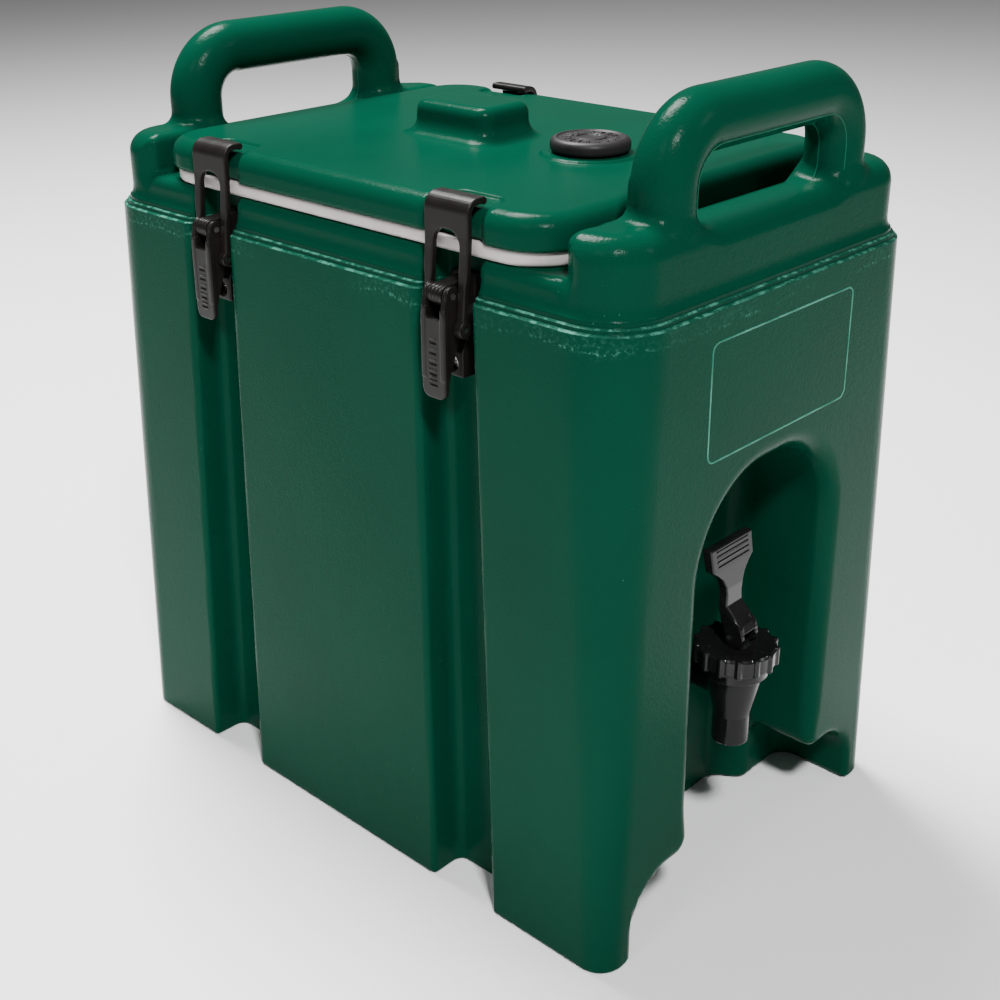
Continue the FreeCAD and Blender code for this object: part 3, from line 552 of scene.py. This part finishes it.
def spigot_body_field(x, y, z):
    """Spigot body: nozzle with chamber, shank, collar and the bore between them."""
    rho = np.hypot(x, y - SPIGOT_Y)
    outside = [(8.3, 83.0), (11.0, 83.0), (11.0, 101.0), (12.2, 106.5), (16.4, 125.5), (17.0, 128.2),
               (19.6, 129.4), (19.6, 135.9), (18.6, 136.2), (18.6, 143.5)]
    chamber = [(14.0, 143.5), (14.0, 126.0), (10.2, 108.0), (10.2, 104.0), (8.3, 104.0)]
    valve = poly2(rho, z, outside + chamber)
    shank = both(np.hypot(x, z - SHANK_Z) - SHANK_R, y + 84.0, 0.6)
    shank = np.maximum(shank, 13.5 - np.where(y > SPIGOT_Y, rho, -rho))
    collar = both(np.hypot(x, z - SHANK_Z) - 15.5, np.abs(y + 148.5) - 2.5, 0.8)
    body = either(either(valve, shank, 1.6), collar, 0.8)
    bore = np.maximum(np.hypot(x, z - SHANK_Z) - 6.5, np.abs(y + 134.5) - 51.5)
    return np.maximum(body, -np.maximum(bore, SPIGOT_Y - y))


def bonnet_field(x, y, z):
    """Bonnet: ring nut with 14 lugs and 6 small dots."""
    dy = y - SPIGOT_Y
    rho, angle = np.hypot(x, dy), np.arctan2(dy, x)
    turn = 2 * math.pi / 14
    local = np.mod(angle, turn) - turn / 2
    profile = [(18.7, 136.5), (22.6, 136.5), (23.2, 138.0), (23.2, 146.2), (22.0, 147.6), (8.0, 147.0),
               (7.0, 148.6), (3.1, 148.6), (3.1, 143.6), (18.7, 143.6)]
    cap = poly2(rho, z, profile) - 0.15
    lug = np.hypot(rho * np.cos(local) - 22.9, rho * np.sin(local)) - 2.0
    lug = both(lug, np.abs(z - 142.2) - 6.0, 1.2)
    cap = either(cap, lug, 0.6)
    turn6 = 2 * math.pi / 6
    dot = np.mod(angle, turn6) - turn6 / 2
    dot = np.sqrt((rho * np.cos(dot) - 17.0) ** 2 + (rho * np.sin(dot)) ** 2 + (z - 147.2) ** 2) - 0.9
    return np.minimum(cap, dot)


def paddle_half(z):
    """Half width of the spigot lever's web and paddle."""
    heights = (158, 172, 178, 184, 189, 193, 196.5, 211)
    return np.interp(z, heights, (8.0, 7.9, 7.5, 8.4, 10.9, 15.0, 19.6, 20.2))


def spigot_lever_field(x, y, z):
    """Spigot lever: ribbed paddle on a web, two legs with cams, and the bridge between them."""
    w, b = np.abs(x), y - SPIGOT_Y
    front = [(-4.8, 163.6), (-1.6, 167.4), (3.0, 172.0), (3.2, 183.0), (5.0, 196.0), (7.4, 210.0)]
    back = [(13.4, 209.6), (11.0, 195.5), (9.0, 183.0), (9.0, 170.5), (6.8, 163.6), (3.4, 160.5)]
    web = soft_poly2(b, z, front + back, 1.0)
    sides = (w - paddle_half(z)) * 0.8
    lever = both(web, sides, 1.0)
    cheek = [(-9.0, CAM_Z), (-7.2, 160.5), (-4.9, 163.6), (3.0, 168.0), (6.6, 163.0), (2.4, CAM_Z)]
    cheek = soft_poly2(b, z, cheek, 1.0)
    cam = np.hypot(b + 3.0, z - CAM_Z) - 6.0
    legs = both(either(cheek, cam, 1.0), np.abs(w - 6.65) - 1.35, 0.5)
    lever = either(lever, legs, 1.2)
    bridge = [(-8.8, 157.0), (-6.6, 162.2), (-4.8, 163.8), (-1.4, 163.8), (-3.4, 161.0), (-6.2, 156.5)]
    bridge = both(soft_poly2(b, z, bridge, 0.7), w - 8.0, 0.5)
    lever = either(lever, bridge, 0.8)
    rib = np.abs(np.mod(z - 198.5 + 1.6, 3.2) - 1.6) - 0.6
    rib = np.maximum(np.maximum(rib, np.abs(z - 203.3) - 4.9), w - 15.0)
    face = np.interp(z, (196.0, 210.0), (5.0, 7.4))
    raised = both(rib, face - 0.55 - b, 0.4)
    lever = np.minimum(lever, np.maximum(raised, b - face - 1.5))
    lever = np.maximum(lever, -np.maximum(np.hypot(x, b) - 4.4, z - CAM_Z - 6.0))
    return np.maximum(lever, 1.56 - np.hypot(b, z - CAM_Z))


def cap_field(x, y, z):
    """Vent cap: dished disc with a ring of dashes, and its grooved stem."""
    dy = y - VENT_Y
    rho, angle = np.hypot(x, dy), np.arctan2(dy, x)
    disc = both(both(rho - 22.5, z - 421.5, 3.8), 413.2 - z, 3.2)
    dish = both(rho - 18.2, 420.7 - z, 0.6)
    disc = less(disc, dish, 0.8)
    ring = np.hypot(rho - 8.2, z - 420.7) - 0.8
    turn = 2 * math.pi / 16
    local = np.mod(angle, turn) - turn / 2
    dash = rect2(rho * np.cos(local) - 13.2, rho * np.sin(local), 2.4, 0.9, 0.5)
    dash = both(dash, z - 421.35, 0.3)
    dash = np.maximum(dash, 420.0 - z)
    cap = np.minimum(np.minimum(disc, ring), dash)
    stem = both(both(rho - 5.9, 381.0 - z, 1.0), z - 416, 0.5)
    stem = np.maximum(stem, -np.maximum(np.abs(z - 385.2) - 1.2, 4.4 - rho))
    return either(cap, stem, 1.0)


def build_gasket():
    """Hollow strip between rim and lid."""
    half_x, half_y = LID_HALF_X - 2.0, LID_HALF_Y - 2.0
    low, high = RIM_Z + 0.2, LID_Z0
    loop = [(a, b, 0.0) for a, b in filled_in(rounded_loop(half_x, half_y, LID_R, 14), 9.0)]
    outer = arc(-2.6, low + 2.6, 2.6, -90, 0, 4) + arc(-1.6, high - 1.6, 1.6, 0, 90, 4)
    inner = [(-14.0, high), (-14.0, low + 1.0), (-13.0, low)]
    return swept("gasket_strip", loop, (0, 0, 1), [(s, h) for s, h in outer + inner])


def wall_y(z):
    """Outer wall at the front face, as a positive distance from the middle."""
    return HALF_Y - TAPER * z / LEDGE_Z


def build_outline():
    """Fine raised line round the plain area over the recess."""
    mid, half = (OUTLINE_Z[0] + OUTLINE_Z[1]) / 2, (OUTLINE_Z[1] - OUTLINE_Z[0]) / 2
    flat = filled_in(rounded_loop(OUTLINE_HALF, half, OUTLINE_R, 6), 12.0)
    loop = [(a, -wall_y(b + mid), b + mid) for a, b in flat]
    section = [(-0.6, -0.5), (0.6, -0.5), (0.5, 0.15), (0.0, 0.3), (-0.5, 0.15)]
    return swept("outline_bead", loop[::-1], (0, -1, 0), section)


def build_seams():
    """Fine mould lines round each hand opening."""
    seams = []
    mid = (SEAM_LOW_Z + TOTAL_H - GRIP_R) / 2
    section = [(SEAM_R * math.cos(t), SEAM_R * math.sin(t)) for t in np.linspace(0, 2 * math.pi, 7)[:-1]]
    for end, name in ((-1, "front"), (1, "rear")):
        for angle, part in SEAM_ANGLES:
            reach = GRIP_R * math.cos(math.radians(angle)) - 0.1
            y = end * (GRIP_Y + GRIP_R * math.sin(math.radians(angle)))
            half_z = (TOTAL_H - GRIP_R - SEAM_LOW_Z) / 2 - reach
            flat = filled_in(rounded_loop(GRIP_X - reach, half_z, GRIP_BEND_R - reach, 8), 12.0)
            loop = [(a, y, b + mid) for a, b in flat]
            seams.append(swept(f"seam_{name}_{part}", loop, (0, 1, 0), section))
    return seams


# ---- camera -------------------------------------------------------------------
CAMERA_AT = (-0.62498, -0.58649, 0.58403)
CAMERA_RIGHT = (0.6898292, -0.72392088, -0.00861611)
CAMERA_UP = (0.29380241, 0.26904959, 0.91721997)
CAMERA_BACK = (-0.66167652, -0.63525655, 0.39828796)
LENS_MM, SENSOR_MM, CAMERA_SHIFT = 52.60, 36.0, (0.0226, -0.0510)

camera_data = bpy.data.cameras.new("camera")
camera_data.sensor_width = SENSOR_MM
camera_data.lens = LENS_MM
camera_data.shift_x, camera_data.shift_y = CAMERA_SHIFT
camera = bpy.data.objects.new("camera", camera_data)
turn = Matrix([CAMERA_RIGHT, CAMERA_UP, CAMERA_BACK]).transposed()
camera.matrix_world = Matrix.Translation(CAMERA_AT) @ turn.to_4x4()
bpy.context.scene.collection.objects.link(camera)
bpy.context.scene.camera = camera


# ---- studio -------------------------------------------------------------------
FLOOR_MM = 6000.0
WORLD_LIGHT = 0.14
# name: place, aim, width and height in metres, power in watts
SOFTBOXES = {
    "left_light": ((-1.5, -0.3, 1.7), (0, 0, 0.3), 0.5, 0.6, 6.0),
    "corner_light": ((-0.9, -1.2, 1.9), (0, 0, 0.3), 0.24, 0.24, 60.0),
    "front_light": ((0.9, -1.7, 1.5), (0, 0, 0.25), 0.4, 0.5, 5.0),
    "top_light": ((0.2, 0.9, 2.2), (0, 0, 0.3), 0.9, 0.9, 170.0),
}


def softbox(name, place, aim, width, height, power):
    """Rectangular area light."""
    light = bpy.data.lights.new(name, "AREA")
    light.shape = "RECTANGLE"
    light.size, light.size_y = width, height
    light.energy = power
    lamp = bpy.data.objects.new(name, light)
    lamp.location = place
    lamp.rotation_euler = (Vector(aim) - Vector(place)).to_track_quat("-Z", "Y").to_euler()
    bpy.context.scene.collection.objects.link(lamp)


floor = make_object("studio_floor", [(-FLOOR_MM, -FLOOR_MM, 0), (FLOOR_MM, -FLOOR_MM, 0),
                                     (FLOOR_MM, FLOOR_MM, 0), (-FLOOR_MM, FLOOR_MM, 0)], [(0, 1, 2, 3)])

world = bpy.data.worlds.new("studio")
bpy.context.scene.world = world
world.use_nodes = True
world.node_tree.nodes["Background"].inputs[0].default_value = (1.0, 1.0, 1.0, 1)
world.node_tree.nodes["Background"].inputs[1].default_value = WORLD_LIGHT

for name, settings in SOFTBOXES.items():
    softbox(name, *settings)


# ---- materials ----------------------------------------------------------------
class Paint:
    """A Principled material and the few nodes that drive it, in object coordinates."""

    def __init__(self, name, colour, roughness, metallic=0.0, specular=0.5):
        self.material = bpy.data.materials.new(name)
        self.material.use_nodes = True
        self.tree = self.material.node_tree
        self.shader = self.tree.nodes["Principled BSDF"]
        self.shader.inputs["Base Color"].default_value = (*colour, 1)
        self.shader.inputs["Roughness"].default_value = roughness
        self.shader.inputs["Metallic"].default_value = metallic
        self.shader.inputs["Specular IOR Level"].default_value = specular
        self.place = self.tree.nodes.new("ShaderNodeTexCoord").outputs["Object"]
        self.bumps = None

    def join(self, value, socket):
        if isinstance(value, bpy.types.NodeSocket):
            self.tree.links.new(value, socket)
        else:
            socket.default_value = value

    def noise(self, scale, detail=2.0, roughness=0.5):
        node = self.tree.nodes.new("ShaderNodeTexNoise")
        node.inputs["Scale"].default_value = scale
        node.inputs["Detail"].default_value = detail
        node.inputs["Roughness"].default_value = roughness
        self.join(self.place, node.inputs["Vector"])
        return node.outputs["Fac"]

    def sum(self, kind, a, b=0.0, c=0.0):
        node = self.tree.nodes.new("ShaderNodeMath")
        node.operation = kind
        for value, socket in zip((a, b, c), node.inputs):
            self.join(value, socket)
        return node.outputs[0]

    def remap(self, value, low, high, to_low, to_high):
        node = self.tree.nodes.new("ShaderNodeMapRange")
        for v, socket in zip((value, low, high, to_low, to_high), node.inputs):
            self.join(v, socket)
        return node.outputs[0]

    def blend(self, share, a, b):
        node = self.tree.nodes.new("ShaderNodeMix")
        node.data_type = "RGBA"
        self.join(share, node.inputs["Factor"])
        for value, socket in ((a, node.inputs[6]), (b, node.inputs[7])):
            self.join(value if isinstance(value, bpy.types.NodeSocket) else (*value, 1), socket)
        return node.outputs[2]

    def bump(self, height, strength, distance):
        node = self.tree.nodes.new("ShaderNodeBump")
        node.inputs["Strength"].default_value = strength
        node.inputs["Distance"].default_value = distance
        self.join(height, node.inputs["Height"])
        if self.bumps:
            self.join(self.bumps, node.inputs["Normal"])
        self.bumps = node.outputs[0]
        self.join(self.bumps, self.shader.inputs["Normal"])

    def colour(self, value):
        self.join(value, self.shader.inputs["Base Color"])

    def rough(self, value):
        self.join(value, self.shader.inputs["Roughness"])

    def height(self):
        node = self.tree.nodes.new("ShaderNodeSeparateXYZ")
        self.join(self.place, node.inputs[0])
        return node.outputs[2]


GREEN, GREEN_DEEP, GREEN_PALE = (0.0, 0.040, 0.0212), (0.0, 0.034, 0.0178), (0.08, 0.30, 0.22)
GREEN_ROUGHNESS, GREEN_SPECULAR = (0.17, 0.23), 0.026
# stress marks below the ledge, in metres: height, half width of the band, strength
STRESS_LINE, STRESS_HAZE = (0.3570, 0.0011, 0.42), (0.3600, 0.0070, 0.12)
STRESS_WANDER = 0.010
# painted highlight: pale lines along the ledge's two step edges, in metres: height of the edge, half width of
# the line
STEP_EDGE_HIGHLIGHTS = ((LEDGE_Z * MM - 0.0002, 0.0006), (0.36735, 0.0005))


def band(paint, height, centre, width, wander):
    """1 on a level line round the part, 0 away from it."""
    off = paint.sum("ADD", height, wander)
    off = paint.sum("ABSOLUTE", paint.sum("SUBTRACT", off, centre))
    return paint.remap(off, width, width * 0.3, 0.0, 1.0)


def green_plastic(name, stressed_and_edge_lit):
    """Moulded polyethylene: satin with fine stipple, small pale specks, stress whitening at the ledge, and
    painted highlight lines along the ledge's step edges.
    """
    paint = Paint(name, GREEN, GREEN_ROUGHNESS[1], specular=GREEN_SPECULAR)
    shade = paint.remap(paint.noise(9.0, 3.0), 0.3, 0.7, 0.0, 1.0)
    colour = paint.blend(shade, GREEN_DEEP, GREEN)
    cells = paint.tree.nodes.new("ShaderNodeTexVoronoi")
    cells.inputs["Scale"].default_value = 130.0
    paint.join(paint.place, cells.inputs["Vector"])
    speck = paint.remap(cells.outputs["Distance"], 0.045, 0.02, 0.0, 1.0)
    rare = paint.remap(paint.noise(45.0, 1.0), 0.60, 0.64, 0.0, 0.5)
    marks_and_highlights = paint.sum("MULTIPLY", speck, rare)
    if stressed_and_edge_lit:
        height = paint.height()
        wander = paint.sum("SUBTRACT", paint.noise(28.0, 3.0), 0.5)
        wander = paint.sum("MULTIPLY", wander, STRESS_WANDER)
        broken = paint.remap(paint.noise(420.0, 3.0, 0.7), 0.50, 0.66, 0.0, 1.0)
        patches = paint.remap(paint.noise(16.0, 2.0), 0.42, 0.60, 0.0, 1.0)
        for centre, width, strength in (STRESS_LINE, STRESS_HAZE):
            line = paint.sum("MULTIPLY", band(paint, height, centre, width, wander), broken)
            line = paint.sum("MULTIPLY", line, paint.sum("MULTIPLY", patches, strength))
            marks_and_highlights = paint.sum("MAXIMUM", marks_and_highlights, line)
        # painted highlight: pale lines on the two step edges of the ledge, broken up by noise
        edge_highlight_strength = paint.remap(paint.noise(150.0, 3.0, 0.7), 0.46, 0.60, 0.08, 0.60)
        for centre, width in STEP_EDGE_HIGHLIGHTS:
            line = paint.sum("MULTIPLY", band(paint, height, centre, width, 0.0), edge_highlight_strength)
            marks_and_highlights = paint.sum("MAXIMUM", marks_and_highlights, line)
    # the pale colour carries the real specks and stress whitening, and also the painted highlight lines on
    # the step edges
    paint.colour(paint.blend(marks_and_highlights, colour, GREEN_PALE))
    paint.rough(paint.remap(paint.noise(30.0, 4.0), 0.3, 0.7, *GREEN_ROUGHNESS))
    paint.bump(paint.noise(160.0, 2.0), 0.18, 0.0004)
    paint.bump(paint.noise(560.0, 2.0, 0.6), 0.80, 0.00020)
    return paint.material


def grained(name, colour, lighter, roughness, grain, depth, metallic=0.0, specular=0.5):
    """Plain moulding with a slight change of shade, an uneven gloss and a fine grain."""
    paint = Paint(name, colour, roughness, metallic, specular)
    shade = paint.remap(paint.noise(60.0, 3.0), 0.35, 0.65, 0.0, 1.0)
    paint.colour(paint.blend(shade, colour, lighter))
    paint.rough(paint.remap(paint.noise(110.0, 3.0), 0.3, 0.7, roughness * 0.85, roughness * 1.15))
    paint.bump(paint.noise(grain, 2.0), 0.4, depth)
    return paint.material


floor_look = grained("studio_floor", (0.90, 0.90, 0.90), (0.91, 0.91, 0.91), 0.9, 30.0, 0.0001)
floor.data.materials.append(floor_look)

# name: colour, lighter colour, roughness, grain per metre, grain depth in metres, other settings
LOOKS = {
    "green_bead": ((0.01, 0.12, 0.075), (0.05, 0.22, 0.155), 0.40, 900.0, 0.0001, {"specular": 0.1}),
    "green_seam": ((0.0, 0.075, 0.04), (0.004, 0.10, 0.055), 0.30, 900.0, 0.0001, {"specular": 0.1}),
    "foam": ((0.62, 0.55, 0.36), (0.70, 0.63, 0.43), 0.85, 700.0, 0.0005, {}),
    "gasket": ((0.40, 0.37, 0.355), (0.46, 0.43, 0.41), 0.32, 500.0, 0.0001, {}),
    "black_nylon": ((0.0062, 0.0054, 0.0050), (0.0085, 0.0074, 0.0068), 0.36, 1500.0, 0.0001,
                    {"specular": 0.14}),
    "black_gloss": ((0.006, 0.006, 0.0063), (0.008, 0.008, 0.0083), 0.15, 700.0, 0.00003, {"specular": 0.25}),
    "black_rubber": ((0.012, 0.011, 0.0115), (0.016, 0.0145, 0.015), 0.45, 1800.0, 0.0001,
                     {"specular": 0.15}),
    "silicone": ((0.60, 0.60, 0.58), (0.66, 0.66, 0.64), 0.45, 900.0, 0.00008, {}),
    "steel": ((0.55, 0.54, 0.52), (0.62, 0.61, 0.59), 0.28, 1200.0, 0.00003, {"metallic": 1.0}),
}
FINISHES = {"green_shell": green_plastic("green_shell", True), "green_lid": green_plastic("green_lid", False)}
for name, (*settings, extra) in LOOKS.items():
    FINISHES[name] = grained(name, *settings, **extra)


def finish(obj, body, slot, *nodes, look=None):
    """Give a piece its material, the body it rides on and the CAD nodes it stands for."""
    obj.data.materials.append(FINISHES[look or slot])
    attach(obj, body)
    if nodes:
        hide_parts(*nodes)
    return obj


# ---- pieces -------------------------------------------------------------------
finish(build_body(), "body", "green_shell", "body_shell")
finish(build_lid(), "lid", "green_lid", "lid_shell")
finish(build_gasket(), "lid", "gasket", "lid_gasket")
finish(build_outline(), "body", "green_shell", look="green_bead")
for seam in build_seams():
    finish(seam, "body", "green_shell", look="green_seam")

cap = shaped(cap_field, cube_grid((-22.5, VENT_Y - 22.5, 381), (22.5, VENT_Y + 22.5, 421.6), FINE), keep=0.5)
finish(make_object("vent_button", *cap), "vent", "black_rubber", "vent_cap")

latch_shapes = {
    "base": shaped(base_field, cube_grid((113.5, -13, 319), (142.5, 13, 375), FINE), keep=0.45),
    "lever": shaped(lever_field, cube_grid((129.0, -8.4, 312), (144.2, 8.4, 372.5), FINE), keep=0.6),
    "bail": shaped(bail_field, cube_grid((118.5, -15, 345), (139.5, 15, 415.4), FINE), keep=0.5),
}
for side, side_name in ((-1, "left"), (1, "right")):
    for y, end_name in zip(LATCH_Y, ("front", "rear")):
        latch = f"latch_{side_name}_{end_name}"
        riders = {"base": "body", "lever": latch + "_lever_arm", "bail": latch + "_hook"}
        for part, rider in riders.items():
            piece = make_object(f"{latch}_{part}_moulding", *on_side(latch_shapes[part], side, y))
            finish(piece, rider, "black_nylon", f"{latch}_{part}")

grids = {
    "body": (spigot_body_field,
             cube_grid((-19.6, SPIGOT_Y - 19.6, 83), (19.6, -84, 143.5), FINE * 1.3), 0.5),
    "bonnet": (bonnet_field, cube_grid((-25, SPIGOT_Y - 25, 136), (25, SPIGOT_Y + 25, 149), FINE), 0.6),
    "lever": (spigot_lever_field,
              cube_grid((-20.3, SPIGOT_Y - 9.2, 147), (20.3, SPIGOT_Y + 14, 210.6), FINE), 0.5),
}
for part, (field, grid, keep) in grids.items():
    piece = make_object(f"spigot_{part}_moulding", *shaped(field, grid, keep=keep))
    finish(piece, "spigot_handle" if part == "lever" else "body", "black_gloss", f"spigot_{part}")

# the looks of the CAD nodes that still show, by the first of these words in their names
CAD_LOOKS = (("foam_plug", "green_shell"), ("foam", "foam"), ("screws", "steel"), ("pin", "steel"),
             ("seal", "silicone"), ("cup", "silicone"), ("washer", "silicone"), ("nut", "black_gloss"),
             ("stem", "black_gloss"))
for name, node in sorted(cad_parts.items()):
    if not node.hide_render:
        look = next(look for part, look in CAD_LOOKS if part in name)
        node.data.materials.clear()
        node.data.materials.append(FINISHES[look])
